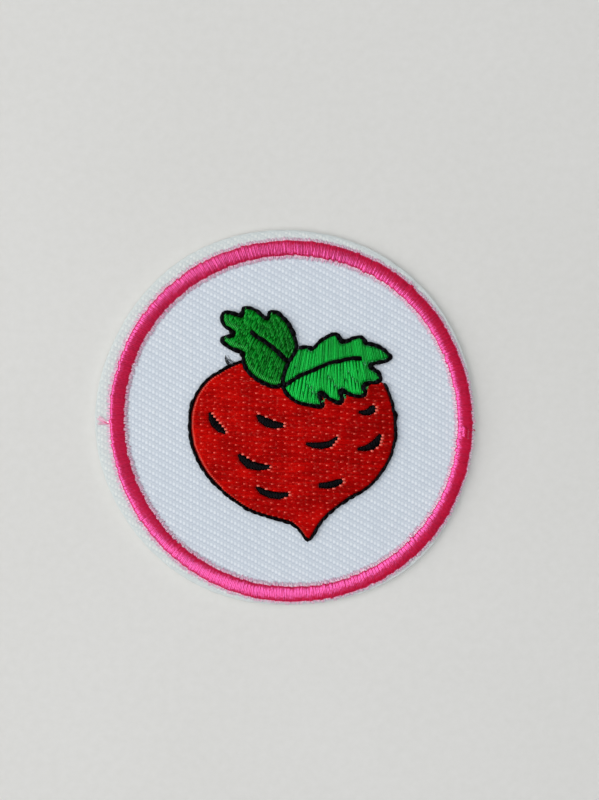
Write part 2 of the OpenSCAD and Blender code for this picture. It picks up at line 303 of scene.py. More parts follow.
def film_material():
    n = Nodes("adhesive_film")
    place = n.place()
    cloud = n.noise(place, 300, 4.0, 0.6)
    fine = n.noise(place, 1600, 3.0, 0.6)
    both = n.blend(cloud, fine, 0.4)
    n.link(n.ramp(both, [(0.3, (206, 206, 198)), (0.7, (224, 225, 219))]), "Base Color")
    n.bump(both, 0.00006)
    n.set(Roughness=0.22, Specular_IOR_Level=0.6, Coat_Weight=0.4, Coat_Roughness=0.15)
    return n.material


TWILL, FLOOR, FILM = twill_material(), floor_material(), film_material()


# Shapes of the CAD nodes
def solid(name):
    """Welded points in millimetres and triangles of a CAD node."""
    mesh = nodes[name].data
    mesh.calc_loop_triangles()
    points = np.array([v.co for v in mesh.vertices]) * 1000
    triangles = np.array([t.vertices for t in mesh.loop_triangles])
    welded, back = np.unique(np.round(points, 4), axis=0, return_inverse=True)
    return welded, back.ravel()[triangles]


def top_of(name):
    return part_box(name)[1].z * 1000


def sides(triangle):
    a, b, c = triangle
    return (a, b), (b, c), (c, a)


def chains(edges):
    """Runs of point numbers that directed edges form."""
    after = {}
    for a, b in edges:
        after.setdefault(a, []).append(b)
    starts = sorted(set(after) - {b for _, b in edges})
    out = []
    while after:
        a = starts.pop(0) if starts else next(iter(after))
        run = [a]
        while a in after:
            b = after[a].pop()
            if not after[a]:
                del after[a]
            run.append(b)
            a = b
        out.append(run)
    return out


def flat_loops(name, foot=False):
    """Outlines of a node's flat top, or of its foot, as closed loops of points."""
    points, triangles = solid(name)
    z = points[:, 2]
    flat = z < z.min() + 1e-3 if foot else z > z.max() - 1e-3
    edges = {edge for t in triangles[flat[triangles].all(1)] for edge in sides(t)}
    rim = sorted(e for e in edges if (e[1], e[0]) not in edges)
    return [points[run[:-1], :2] for run in chains(rim)]


def crest(name):
    """Middle line of a raised line, in order."""
    points, triangles = solid(name)
    low, high = points[:, 2].min(), points[:, 2].max()
    on = points[:, 2] > low + (high - low) * 0.68  # above the two shoulders of its section
    near = {}
    for t in triangles:
        for a, b in sides(t):
            if on[a] and on[b]:
                near.setdefault(a, set()).add(b)
                near.setdefault(b, set()).add(a)
    ends = sorted(a for a in near if len(near[a]) == 1)
    a = ends[0] if ends else min(near)
    run, seen = [a], {a}
    while True:
        ways = sorted(b for b in near[a] if b not in seen)
        if not ways:
            break
        a = ways[0]
        seen.add(a)
        run.append(a)
    line = points[run, :2]
    return line if ends else np.vstack([line, line[:1]])


def inside(points, loops):
    """Which points lie inside closed loops."""
    found = np.zeros(len(points), bool)
    for loop in loops:
        for (ax, ay), (bx, by) in zip(loop, np.roll(loop, -1, axis=0)):
            if ay == by:
                continue
            cut = (points[:, 1] >= min(ay, by)) & (points[:, 1] < max(ay, by))
            x = ax + (points[:, 1] - ay) / (by - ay) * (bx - ax)
            found ^= cut & (points[:, 0] < x)
    return found


def grown(loop, by):
    """A closed loop moved out to its own right-hand side, which is out of a solid."""
    a, b = loop - np.roll(loop, 1, axis=0), np.roll(loop, -1, axis=0) - loop
    a = a / np.linalg.norm(a, axis=1)[:, None]
    b = b / np.linalg.norm(b, axis=1)[:, None]
    out = np.column_stack([(a + b)[:, 1], -(a + b)[:, 0]])
    return loop + out / np.maximum(np.linalg.norm(out, axis=1), 1e-6)[:, None] * by


def is_hole(loop):
    """True for a loop that runs clockwise, round an opening."""
    after = np.roll(loop, -1, axis=0)
    return float((loop[:, 0] * after[:, 1] - after[:, 0] * loop[:, 1]).sum()) < 0


def crossings(loops, v):
    """Sorted u at which loops in (u, v) cross the level v."""
    found = []
    for loop in loops:
        after = np.roll(loop, -1, axis=0)
        cut = (loop[:, 1] <= v) != (after[:, 1] <= v)
        a, b = loop[cut], after[cut]
        found.extend(a[:, 0] + (v - a[:, 1]) / (b[:, 1] - a[:, 1]) * (b[:, 0] - a[:, 0]))
    return sorted(found)


def dense(loop, step=0.25):
    """A closed loop with no edge longer than step."""
    out = []
    for a, b in zip(loop, np.roll(loop, -1, axis=0)):
        n = max(1, math.ceil(np.linalg.norm(b - a) / step))
        out.extend(a + (b - a) * k / n for k in range(n))
    return np.array(out)


def ease(x):
    """A smooth step: 0 up to x = 0, and 1 from x = 1."""
    x = np.clip(x, 0, 1)
    return x * x * (3 - 2 * x)


# Meshes
def piece(name, points, faces, material):
    """A smooth mesh from points in millimetres."""
    mesh = bpy.data.meshes.new(name)
    mesh.from_pydata((np.asarray(points) / 1000).tolist(), [], faces)
    mesh.materials.append(material)
    mesh.polygons.foreach_set("use_smooth", [True] * len(mesh.polygons))
    obj = bpy.data.objects.new(name, mesh)
    bpy.context.scene.collection.objects.link(obj)
    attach(obj, "root")
    return obj


def values(obj, name, numbers):
    """A number for each point, which the material reads by its name."""
    layer = obj.data.attributes.new(name, "FLOAT", "POINT")
    layer.data.foreach_set("value", np.asarray(numbers, np.float32))


GLINT_AT, GLINT_REACH = 0.14, 0.2  # a thread's painted highlight at its ends is strongest this far from its end, and spreads over this reach


class Threads:
    """Tubes of thread that are gathered into one piece."""

    def __init__(self, sides=6):
        self.sides, self.points, self.faces, self.uv, self.count = sides, [], [], [], 0
        self.tone, self.worn = [], []

    def add(self, line, half_w, half_h, tone=None, taper=0.7, worn=0.0, reach=0.25, roll=0.0):
        """One tube. glint lightens its ends with a painted highlight, where it bends out of the needle
        holes: one number for both ends, or one for its first and one for its last. The tube narrows
        to taper within reach of its ends, and roll turns its flat section about its length."""
        line = np.asarray(line, float)
        n, k = len(line), self.sides
        along = np.gradient(line, axis=0)
        along /= np.linalg.norm(along, axis=1)[:, None]
        side = np.cross(along, (0, 0, 1))
        side /= np.maximum(np.linalg.norm(side, axis=1), 1e-6)[:, None]
        up = np.cross(side, along)
        side, up = (side * math.cos(roll) + up * math.sin(roll),
                    up * math.cos(roll) - side * math.sin(roll))
        steps = np.linalg.norm(np.diff(line, axis=0), axis=1)
        length = np.concatenate([[0], np.cumsum(steps)])
        from_end = np.minimum(length, length[-1] - length)
        size = taper + (1 - taper) * ease(from_end / reach)
        turn = np.arange(k) / k * TAU + TAU / 4
        ring = (line[:, None]
                + side[:, None] * (np.cos(turn) * half_w)[None, :, None] * size[:, None, None]
                + up[:, None] * (np.sin(turn) * half_h)[None, :, None] * size[:, None, None])
        start, shift = self.count, rng.random() * 4
        for i in range(n - 1):
            for j in range(k):
                l = (j + 1) % k
                self.faces.append((start + i * k + j, start + (i + 1) * k + j,
                                   start + (i + 1) * k + l, start + i * k + l))
                u0, u1, v0, v1 = j / k, (j + 1) / k, length[i] + shift, length[i + 1] + shift
                self.uv += [(u0, v0), (u0, v1), (u1, v1), (u1, v0)]
        self.faces.append(tuple(start + j for j in range(k)))
        self.uv += [(j / k, length[0] + shift) for j in range(k)]
        self.faces.append(tuple(start + (n - 1) * k + j for j in reversed(range(k))))
        self.uv += [(j / k, length[-1] + shift) for j in reversed(range(k))]
        self.points.append(ring.reshape(-1, 3))
        self.tone += [rng.random() if tone is None else tone] * (n * k)
        first, last = worn if isinstance(worn, tuple) else (worn, worn)
        # painted highlight: how much of the tip colour goes near each end
        amount = np.where(length < length[-1] / 2, first, last)
        amount = np.clip(amount * (1 - ((from_end - GLINT_AT) / GLINT_REACH) ** 2), 0, 1)
        self.worn += list(np.repeat(amount, k))
        self.count += n * k

    def strand(self, points, radius, worn=0.0, tone=None):
        """A round tube on a smooth line through a few points."""
        self.add(smooth_line(points), radius, radius, tone, 0.5, worn)

    def core(self, points, faces, tone=0.1):
        """A closed solid under the threads."""
        start = self.count
        self.points.append(np.asarray(points, float))
        for face in faces:
            self.faces.append(tuple(int(i) + start for i in face))
            self.uv += [tuple(points[i][:2]) for i in face]
        self.tone += [tone] * len(points)
        self.worn += [0.0] * len(points)
        self.count += len(points)

    def build(self, name, material, slot, *stands_for):
        obj = piece(name, np.vstack(self.points), self.faces, material)
        layer = obj.data.uv_layers.new(name="thread")
        layer.data.foreach_set("uv", np.array(self.uv, np.float32).ravel())
        values(obj, "tone", self.tone)
        values(obj, "worn", self.worn)
        if stands_for:
            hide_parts(*stands_for)


def stitch(a, b, z0, top, rise, step=0.22, bow=0.0, z1=None):
    """A stitch from a to b: out of its hole at height z0, within rise up to top, and at its end
    down again to z1. bow is how far its middle stands out to its left."""
    a, b = np.asarray(a, float), np.asarray(b, float)
    z1 = z0 if z1 is None else z1
    long = np.linalg.norm(b - a)
    rise = min(rise, long * 0.45)
    inner = np.linspace(rise, long - rise, max(2, math.ceil((long - 2 * rise) / step) + 1))
    head = rise * np.array([0, 0.22, 0.46, 0.72])
    s = np.concatenate([head, inner, long - head[::-1]])
    climb = 1 - np.clip(1 - np.minimum(s, long - s) / rise, 0, 1) ** 1.6
    low = np.where(s < long / 2, z0, z1)
    z = low + (top - low) * climb
    way = (b - a) / long
    off = np.array([-way[1], way[0]]) * bow
    xy = a + s[:, None] * way + np.sin(s / long * math.pi)[:, None] * off
    return np.column_stack([xy, z])


def smooth_line(points, step=0.12):
    """A smooth line through a few points."""
    points = np.asarray(points, float)
    d = np.gradient(points, axis=0)
    out = []
    for i in range(len(points) - 1):
        a, b = points[i], points[i + 1]
        n = max(2, math.ceil(np.linalg.norm(b - a) / step))
        for k in range(n):
            x = k / n
            out.append((2 * x ** 3 - 3 * x ** 2 + 1) * a + (x ** 3 - 2 * x ** 2 + x) * d[i]
                       + (3 * x ** 2 - 2 * x ** 3) * b + (x ** 3 - x ** 2) * d[i + 1])
    return np.vstack([out, points[-1:]])


# Places of the ring and of the filled fields
def ring_shape():
    """Centre of the ring, and its inner and outer radius by angle."""
    points, _ = solid("satin_ring")
    foot = points[points[:, 2] < points[:, 2].min() + 1e-3, :2]
    centre = (foot.max(0) + foot.min(0)) / 2
    for _ in range(20):
        r = np.linalg.norm(foot - centre, axis=1)
        outer = foot[r > r.mean()]
        centre = centre + 0.5 * (outer.mean(0) - centre)
    a = np.arctan2(*(foot - centre).T[::-1])
    r = np.linalg.norm(foot - centre, axis=1)
    out = []
    for part in (r < r.mean(), r >= r.mean()):
        order = np.argsort(a[part])
        out.append((a[part][order], r[part][order]))
    return centre, out[0], out[1]


RING_AT, RING_IN, RING_OUT = ring_shape()
FIELDS = {name: flat_loops(name) for name in ("berry_fill", "leaf_left", "leaf_right")}


def radius_at(table, a):
    return np.interp(a, table[0], table[1], period=TAU)


def in_ring(points):
    """How far points lie outside the ring's inner edge, and inside its outer edge."""
    off = points - RING_AT
    a, r = np.arctan2(off[:, 1], off[:, 0]), np.linalg.norm(off, axis=1)
    return r - radius_at(RING_IN, a), radius_at(RING_OUT, a) - r


# Ground: woven twill with a cut edge
WARP = 0.449          # pitch of the upright yarns
REPEAT = 0.891        # one over and under along a yarn
STEP_DOWN = 0.2375    # how far each yarn's pattern lies below that of the yarn on its left
ACROSS = [0.0, 0.23, 0.5, 0.77]               # places of the lines of points in a yarn's width
ALONG = [0.01, 0.13, 0.28, 0.47, 0.64, 0.82]  # places of the points in a repeat
DISC_R = 24.8         # radius of the flat of the face
DEEP = 0.07           # depth of the weave
LIFT = 0.02           # height of its highest floats above the CAD node
EDGE_FALL = 0.12      # how far the cloth's edge is pressed down
FLOATS = 0.72 + 0.28 * rng.random(4001)       # heights of single floats
# the cut edge, down from the face: (distance out, part of the cloth's height)
CUT = [(0.06, 0.93), (0.16, 0.84), (0.215, 0.66), (0.20, 0.46), (0.21, 0.28), (0.20, 0.12), (0.19, 0.0)]


def weave(u, v):
    """Height of the twill in the cell at u across and v along, from 0 to 1: a long crown where
    the upright yarn floats, and the cross yarn low between two floats."""
    across = np.sqrt(np.clip(1 - (2 * u - 1) ** 2, 0, 1))
    crown = np.clip(1 - np.abs((v - 0.37) / 0.33) ** 2.4, 0, 1)
    caught = 0.54 * np.clip(1 - ((v - 0.86) / 0.17) ** 2, 0, 1)
    return np.maximum(crown * (0.22 + 0.78 * across), caught)


def hidden(points):
    """Which points of the ground lie well under the stitching."""
    past_in, past_out = in_ring(points)
    under = (past_in > 0.55) & (past_out > 0.55)
    for loops in FIELDS.values():
        under |= inside(points, [max(loops, key=lambda l: np.ptp(l[:, 0]))])
    return under


def disc_outline():
    """The disc's centre and the outline of its flat top."""
    points, _ = solid("twill_disc")
    centre = (points.max(0) + points.min(0))[:2] / 2
    z = np.round(points[:, 2], 3).max()
    top = points[np.abs(points[:, 2] - z) < 2e-3]
    return centre, top[np.argsort(np.arctan2(*(top[:, :2] - centre).T[::-1])), :2]


def upright_places(left, right):
    """Where the upright lines of points stand: over the yarns, and closer together at the two
    ends of the disc, by equal steps round it."""
    columns = range(math.floor(left / WARP) - 1, math.ceil(right / WARP) + 2)
    places = [WARP * (c + u) for c in columns for u in ACROSS]
    places = [x for x in places if left + 0.08 < x < right - 0.08]
    for k in range(1, 14):
        d = DISC_R * (1 - math.cos(0.011 * k))
        places += [left + d, right - d]
    places.sort()
    apart = places[:1]
    for x in places[1:]:
        if x - apart[-1] > 0.004:
            apart.append(x)
    return apart


def upright_line(x, outline):
    """Points and heights of the weave on one upright line: few and flat under the stitching."""
    ends = crossings([outline[:, ::-1]], x)
    low, high = ends[0], ends[-1]
    yarn = math.floor(x / WARP)
    u = x / WARP - yarn
    shift = -STEP_DOWN * (yarn - (0.5 if u < 0.05 else 0.0))
    repeats = np.arange(math.floor((low - shift) / REPEAT) - 1, math.ceil((high - shift) / REPEAT) + 1)
    v = np.tile(ALONG, len(repeats))
    repeat = np.repeat(repeats, len(ALONG))
    y = (repeat + v) * REPEAT + shift
    keep = (y > low + 0.07) & (y < high - 0.07)
    y, v, repeat = y[keep], v[keep], repeat[keep]
    at = np.column_stack([np.full(len(y), x), y])
    h = weave(np.full(len(y), u), v) * FLOATS[(yarn * 7 + repeat * 13) % len(FLOATS)]
    under = hidden(at)
    h[under] = 0
    shown = ~under | (np.arange(len(y)) % 12 == 0)
    return np.vstack([[x, low], at[shown], [x, high]]), np.concatenate([[0.3], h[shown], [0.3]])


def joined(a, b, points):
    """Triangles between two upright lines of point numbers."""
    faces = []
    i = j = 0
    while i < len(a) - 1 or j < len(b) - 1:
        ya = points[a[i + 1]][1] if i < len(a) - 1 else math.inf
        yb = points[b[j + 1]][1] if j < len(b) - 1 else math.inf
        if ya <= yb:
            faces.append((a[i], b[j], a[i + 1]))
            i += 1
        else:
            faces.append((a[i], b[j], b[j + 1]))
            j += 1
    return faces


def cut_edge(rim, centre, points, faces, relief_shade):
    """Add the cut edge below the rim, a little fuzzy, and return the numbers of its foot."""
    at = np.array([points[i] for i in rim])
    way = at[:, :2] - centre
    way /= np.linalg.norm(way, axis=1)[:, None]
    rough = rng.normal(0, 1, len(rim))
    rough = np.concatenate([rough[-3:], rough, rough[:3]])
    fuzz = np.convolve(rough, [0.2, 0.5, 0.9, 1, 0.9, 0.5, 0.2], "valid")
    previous = rim
    for out, level in CUT:
        new = list(range(len(points), len(points) + len(rim)))
        upper = level > 0.5
        amount = 0.0 if level == 0 else 0.005 if upper else 0.003
        side = at[:, :2] + way * (out + fuzz * amount)[:, None]
        z = FILM_TOP + (TWILL_TOP - FILM_TOP) * level - (0.08 if level > 0.9 else 0)
        points += list(np.column_stack([side, np.full(len(rim), z) + (fuzz * 0.01 if upper else 0)]))
        # painted shade on the cut edge
        relief_shade += [0.5 if upper else 0.4] * len(rim)
        for i in range(len(rim)):
            k = (i + 1) % len(rim)
            faces.append((previous[i], new[i], new[k], previous[k]))
        previous = new
    return previous


def twill():
    centre, outline = disc_outline()
    points, faces, columns, relief_shade = [], [], [], []
    for x in upright_places(outline[:, 0].min(), outline[:, 0].max()):
        at, h = upright_line(x, outline)
        columns.append(np.arange(len(points), len(points) + len(at)))
        from_edge = np.clip(DISC_R + 0.2 - np.linalg.norm(at - centre, axis=1), 0, 1)
        z = TWILL_TOP + LIFT + DEEP * (h - 1) - EDGE_FALL * (1 - ease(from_edge / 0.9))
        points += list(np.column_stack([at, z + rng.normal(0, 0.006, len(at))]))
        # painted shade: the cloth's colour follows the weave's height
        relief_shade += list(np.clip(1.18 * h, 0, 1))
    for a, b in zip(columns, columns[1:]):
        faces += joined(a, b, points)
    rim = [c[0] for c in columns] + [c[-1] for c in reversed(columns)]
    foot = cut_edge(rim, centre, points, faces, relief_shade)
    n = len(columns)
    for i in range(n - 1):
        faces.append((foot[i], foot[2 * n - 1 - i], foot[2 * n - 2 - i], foot[i + 1]))
    obj = piece("twill_ground", points, faces, TWILL)
    values(obj, "relief_shade", relief_shade)
    past_in, past_out = in_ring(np.array(points)[:, :2])
    values(obj, "rim", ease(-past_out / 0.4))
    # painted pink glow, strongest next to the ring
    values(obj, "lint_and_pink_glow", 1 - ease((np.maximum(-past_out, -past_in) + 0.05) / 0.42))
    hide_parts("twill_disc")


twill()


# Ring: satin stitches in a zigzag across its width, and the fibres that stand out at its holes, whose
# pale pink is painted highlight and glow
TEETH = 325
GATHER = 0.55  # how far two neighbouring stitches close up at a needle hole
CREST = 0.40   # where the ring is highest, as a part of its width from its inner edge
SHIFT = 0.42   # how much further out that is at its left
EDGE = 0.25    # height of its steep edges
LAP = 0.10     # turn of each flat thread, so that it laps over the next
WANDER = 0.025  # how far both edges leave their lines together
STRAY = 0.05    # spread of single holes, in teeth along the ring and in millimetres across it
FIBRES = 4      # at each hole
# points across the ring's width
WIDTH = np.array([0, 0.03, 0.06, 0.10, 0.18, 0.28, 0.40, 0.52, 0.63, 0.73, 0.82, 0.89, 0.94, 0.97, 1])
# section of the core under the threads: (part of the width, part of the height)
CORE = [(0.12, 0.0), (0.16, 0.30), (0.28, 0.62), (0.40, 0.76), (0.60, 0.66), (0.80, 0.36), (0.88, 0.0)]


def crown(across, crest):
    """Height above the edges, from 0 to 1, of a low dome that is highest at crest."""
    inner = across < crest
    x = np.abs(across - crest) / np.where(inner, crest, 1 - crest)
    return 1 - x ** np.where(inner, 1.9, 2.6)


def round_ring(a, r, z):
    """Points at angles, radii and heights about the ring's centre."""
    return np.column_stack([RING_AT[0] + r * np.cos(a), RING_AT[1] + r * np.sin(a), z])


def ring_core(threads, tall, n=240):
    """A low solid ring under the threads."""
    m = len(CORE)
    a = np.repeat(np.arange(n) / n * TAU, m)
    across, high = np.tile(np.transpose(CORE), n)
    inner, outer = radius_at(RING_IN, a), radius_at(RING_OUT, a)
    points = round_ring(a, inner + (outer - inner) * across, TWILL_TOP - 0.05 + high * tall)
    corners = [(i * m, j, (i + 1) % n * m, (j + 1) % m) for i in range(n) for j in range(m)]
    threads.core(points, [(i + j, i + l, k + l, k + j) for i, j, k, l in corners])


def ring():
    threads, fibres = Threads(), Threads(5)
    tall = top_of("satin_ring") - TWILL_TOP - 0.06
    foot = ease(np.minimum(WIDTH, 1 - WIDTH) / 0.075)
    drift = np.cumsum(rng.normal(0, 1, 2 * TEETH))
    drift -= np.linspace(0, drift[-1], len(drift))
    drift = drift / np.abs(drift).max() * WANDER
    turns = [np.arange(TEETH) + half + rng.normal(0, STRAY, TEETH) for half in (0, 0.5)]
    depths = [rng.normal(0, STRAY, TEETH) + more for more in (0.06, 0.01)]

    def hole(j, outer):
        """Angle and radius of a needle hole."""
        i = j % TEETH
        a = (turns[outer][i] + TEETH * (j // TEETH)) / TEETH * TAU
        return a, radius_at((RING_IN, RING_OUT)[outer], a) + depths[outer][i] + drift[2 * i]

    for j in range(TEETH):
        end = hole(j, True)
        for start, lift, tone in ((hole(j, False), 0.004, 0.12), (hole(j + 1, False), -0.004, 0.0)):
            lean = GATHER * (end[0] - start[0])
            a = (start[0] + end[0]) / 2 + lean * (WIDTH - 0.5)
            r = start[1] + (end[1] - start[1]) * WIDTH
            peak = CREST + SHIFT * max(0.0, -math.cos(end[0])) ** 3
            high = (EDGE + 0.04) * foot + (tall - EDGE) * np.clip(crown(WIDTH, peak), 0, 1)
            z = TWILL_TOP - 0.04 + high + (lift + rng.normal(0, 0.004)) * foot
            # painted highlights on both ends of each stitch, where it bends into its holes
            threads.add(round_ring(a, r, z), 0.20, 0.05, tone + 0.65 * rng.random(), 0.46,
                        (0.45 + 0.4 * rng.random(), 0.4 + 0.3 * rng.random()), 0.35, LAP)
        for outer in (False, True):
            out = 1 if outer else -1
            for k in range(FIBRES):
                a, r = hole(j, outer)
                a += TAU / TEETH * ((k + 0.5) / FIBRES + rng.normal(0, 0.08))
                longer = 0.16 * max(0.0, math.cos(a - 3.0)) if outer else 0.10
                reach = np.array([-0.24, -0.08, 0.08, 0.16 + 0.24 * rng.random() + longer])
                a = a + rng.normal(0, 0.002) * np.arange(4)
                z = TWILL_TOP + np.array([0.32, 0.27, 0.16, 0.045])
                fibres.add(round_ring(a, r + out * reach, z), 0.066, 0.036,
                           0.35 + 0.4 * rng.random(), 0.4)
    ring_core(threads, tall)
    threads.build("ring_threads", RING, "ring_thread", "satin_ring")
    fibres.build("ring_fringe", FRINGE_GLOW, "ring_thread")


ring()


# Fills: rows of thread between the edges of a field
def sunk_core(threads, name, height, wider=0.0, tone=0.05):
    """The field's own solid, kept low and a little wider, under the threads. Its low tone is painted
    shade in the gaps between the stitches.
    """
    points, triangles = solid(name)
    points = points.copy()
    at = {}
    for loop in FIELDS[name]:
        for p, q in zip(loop, grown(loop, 0 if is_hole(loop) else wider)):
            at[tuple(np.round(p, 3))] = q - p
    for p in points:
        p[:2] += at.get(tuple(np.round(p[:2], 3)), 0)
    high = points[:, 2] > TWILL_TOP + 0.1
    points[high, 2] = TWILL_TOP + height
    points[~high, 2] = TWILL_TOP - 0.06
    threads.core(points, triangles, tone)


def rows_of(loops, spacing, reach=0.0, inner_reach=0.0, inner=()):
    """Rows (number, v, start, end) across loops in (u, v), drawn out by reach at their ends,
    and by inner_reach where they end at one of the inner loops."""
    low = min(l[:, 1].min() for l in loops)
    high = max(l[:, 1].max() for l in loops)
    for k in range(int((high - low) / spacing)):
        v = low + (k + 0.5) * spacing
        ends = [(u, reach) for u in crossings(loops, v)]
        ends = sorted(ends + [(u, inner_reach) for u in crossings(inner, v)])
        for (a, ra), (b, rb) in zip(ends[::2], ends[1::2]):
            yield k, v, a - ra, b + rb


ROW, LONG = 0.206, 3.67  # pitch of the fruit's rows, and length of their stitches
NEXT = 0.92              # how far the holes of each row lie to the left of those before it
LEFT_EDGE = -8.5         # rows that start left of this end at the fruit's lit edge
PALE = [(-5.72, 4.98), (-5.34, 4.76), (-4.92, 4.76), (-4.46, 4.82), (-4.04, 4.78), (-3.06, 4.22),
        (-2.68, 4.12)]   # broken stitches at the lower edge of the left leaf


def berry():
    threads = Threads()
    name = "berry_fill"
    outer = [l for l in FIELDS[name] if not is_hole(l)]
    seeds = [grown(l, -0.10) for l in FIELDS[name] if is_hole(l)]
    top = top_of(name) - 0.08
    sunk_core(threads, name, 0.27, 0.14)
    for k, v, a, b in rows_of(outer, ROW, 0.2, 0.08, seeds):
        at_seed = a in {u - 0.08 for u in crossings(seeds, v)}
        shift = (-k * NEXT + rng.normal(0, 0.05)) % LONG
        first = math.ceil((a - shift) / LONG)
        cuts = [shift + LONG * i for i in range(first, first + 12)]
        cuts = [c + rng.normal(0, 0.05) for c in cuts if a + 0.55 < c < b - 0.55]
        ends = [a, *cuts, b]
        high = top + rng.normal(0, 0.010)
        y = v + rng.normal(0, 0.010)
        for i, (s, e) in enumerate(zip(ends, ends[1:])):
            if e - s < 0.3:
                continue
            last = i == len(ends) - 2
            low0 = top - (0.30 if i == 0 else 0.10)
            low1 = top - (0.30 if last else 0.14)
            taper, rise = 0.86, 0.30
            e = e if last else e + 0.14
            # painted highlights at the holes, where the thread climbs out towards the lamp: strongest
            # right of a seed, in every other row
            if i == 0 and at_seed and k % 2:
                end_glint, s, low0, taper, rise = 1.0, s - 0.10, top - 0.09, 1.0, 0.14
            elif i == 0 and at_seed:
                end_glint, s = 0.0, s + 0.14
            elif i == 0:
                end_glint = (0.35 if s < LEFT_EDGE else 0.7) + 0.3 * rng.random()
                s, low0 = (s + 0.17, top - 0.20) if s < LEFT_EDGE else (s, low0)
            else:
                end_glint = (0.42, 0.12)[k % 2] + 0.45 * rng.random() ** 2
            line = stitch((s, y), (e, y + rng.normal(0, 0.010)), low0, high, rise, 0.3,
                          rng.normal(0, 0.012), low1)
            # painted light: the tone falls from left to right, lighter on the side of the lamp
            threads.add(line, 0.15, 0.08, rng.random() - 0.06 - 0.30 * (s + e) / 24, taper,
                        (end_glint, 0.05 * rng.random()))
    over = top_of(name) + 0.01
    for x, y in PALE:
        bend = rng.normal(0, 0.05)
        threads.strand([(x - 0.2, y + 0.04 + bend, over - 0.02), (x, y, over + 0.02),
                        (x + 0.2, y - bend, over - 0.02)], 0.034, 0.8)
    threads.build("berry_threads", RED, "fruit_thread", name)


berry()


def to_fan(points, centre, far):
    """(u, v) of points by rays from a centre: u away from it, v across at the distance far."""
    off = points - centre
    a = np.arctan2(off[:, 0], -off[:, 1])
    return np.column_stack([np.linalg.norm(off, axis=1), a * far])


def from_fan(u, v, centre, far):
    a = v / far
    return np.array([centre[0] + u * math.sin(a), centre[1] - u * math.cos(a)])


LEAF_ROW, LEAF_REACH = 0.215, 0.16  # pitch of the leaves' rows, and how far they are drawn out


def leaf(name, material, slot, centre, upper, lower, worn, rim=0, fade=0):
    """Satin rows along the rays of a far centre. upper and lower are (longest stitch, how far
    stitches close up in pairs at their upper ends, change of tone) for the two sides of the
    vein. glint is the most painted highlight on a stitch's ends, rim the most painted highlight
    on short strands along the leaf's lower edge, and fade the change of tone for each millimetre to the
    right."""
    threads = Threads()
    middle = np.vstack(FIELDS[name]).mean(0)
    far = np.linalg.norm(np.array(centre) - middle)
    loops = [to_fan(dense(l), centre, far) for l in FIELDS[name]]
    vein = crest(name + "_vein")
    top = top_of(name) - 0.08
    sunk_core(threads, name, 0.28, 0.1)

    def from_vein(u, v):
        return np.linalg.norm(vein - from_fan(u, v, centre, far), axis=1).min()

    for k, v, a, b in rows_of(loops, LEAF_ROW, LEAF_REACH):
        if b - a < 0.12:
            continue
        longest, gather, tone = lower if from_vein(a, v) < 0.75 else upper
        pair = (0.5 - (k % 2)) * LEAF_ROW * gather
        n = max(1, round((b - a) / longest))
        shift = ((k // 2) % 3 - 1) * 0.25 * (b - a) / n if n > 1 else 0
        cuts = [a + (b - a) * i / n + shift + rng.normal(0, 0.12) for i in range(1, n)]
        ends = [a, *cuts, b]
        for i, (s, e) in enumerate(zip(ends, ends[1:])):
            if e - s < 0.25:
                continue
            last = i == len(ends) - 2
            p = from_fan(s, v + pair + rng.normal(0, 0.015), centre, far)
            q = from_fan(e, v - pair * 0.3 + rng.normal(0, 0.015), centre, far)
            z = top + rng.normal(0, 0.012)
            low0 = top - (0.28 if i == 0 else 0.17)
            low1 = top - (0.28 if last else 0.17)
            threads.add(stitch(p, q, low0, z, 0.38, 0.28, rng.normal(0, 0.02), low1), 0.135, 0.08,
                        tone + fade * (p[0] - middle[0]) + rng.random(), worn=worn * rng.random() ** 2)
            # short strands along the leaf's lower edge, lightened by painted highlight
            if rim and last and from_vein(e, v) > 0.6:
                line = [(*from_fan(e - back, v, centre, far), top + up)
                        for back, up in ((0.80, 0.05), (0.55, 0.09), (0.28, 0.05))]
                threads.strand(line, 0.05, rim * (0.5 + 0.5 * rng.random()))
    threads.build(name + "_threads", material, slot, name)


leaf("leaf_right", GREEN_R, "right_leaf_thread", centre=(6.5, 30.0),
     upper=(2.6, 0.4, -0.25), lower=(2.5, 0.9, 0.30), worn=0.9)
leaf("leaf_left", GREEN_L, "left_leaf_thread", centre=(14.0, 48.0),
     upper=(1.1, 0.6, 0.05), lower=(1.6, 0.7, -0.05), worn=0.5, rim=1.6, fade=-0.11)


# Lines: short straight stitches of several strands along a path
def resample(path, step):
    """Points on a path at about equal steps along it."""
    d = np.concatenate([[0], np.cumsum(np.linalg.norm(np.diff(path, axis=0), axis=1))])
    n = max(2, round(d[-1] / step) + 1)
    s = np.linspace(0, d[-1], n)
    s[1:-1] += rng.normal(0, step * 0.05, n - 2)
    return np.column_stack([np.interp(s, d, path[:, 0]), np.interp(s, d, path[:, 1])])


def run_stitches(threads, path, step, top, low, half, spread, bulge=0.0):
    """Three passes of straight stitches along a path, each a little off the one before. They
    are thin at their holes and thick between them, and bulge away from the path's middle."""
    middle = path.mean(0)
    for k in range(3):
        points = resample(path, step if k < 2 else step * 1.07)
        points[1:-1] += rng.normal(0, 0.03, (len(points) - 2, 2))
        for a, b in zip(points, points[1:]):
            way = (b - a) / max(np.linalg.norm(b - a), 1e-6)
            normal = np.array([-way[1], way[0]])
            out = 1 if normal @ ((a + b) / 2 - middle) > 0 else -1
            side = normal * ((k - 1) * spread * out + rng.normal(0, 0.035))
            a, b = a - way * 0.10 + side, b + way * 0.10 + side
            high = top + (-0.02, 0.03, -0.01)[k] - 0.05 + rng.normal(0, 0.008)
            line = stitch(a, b, low, high, 0.42, 0.2, out * bulge * (0.5 + rng.random()))
            threads.add(line, half * (0.85 + 0.35 * rng.random()), 0.095, taper=0.5, reach=0.5)


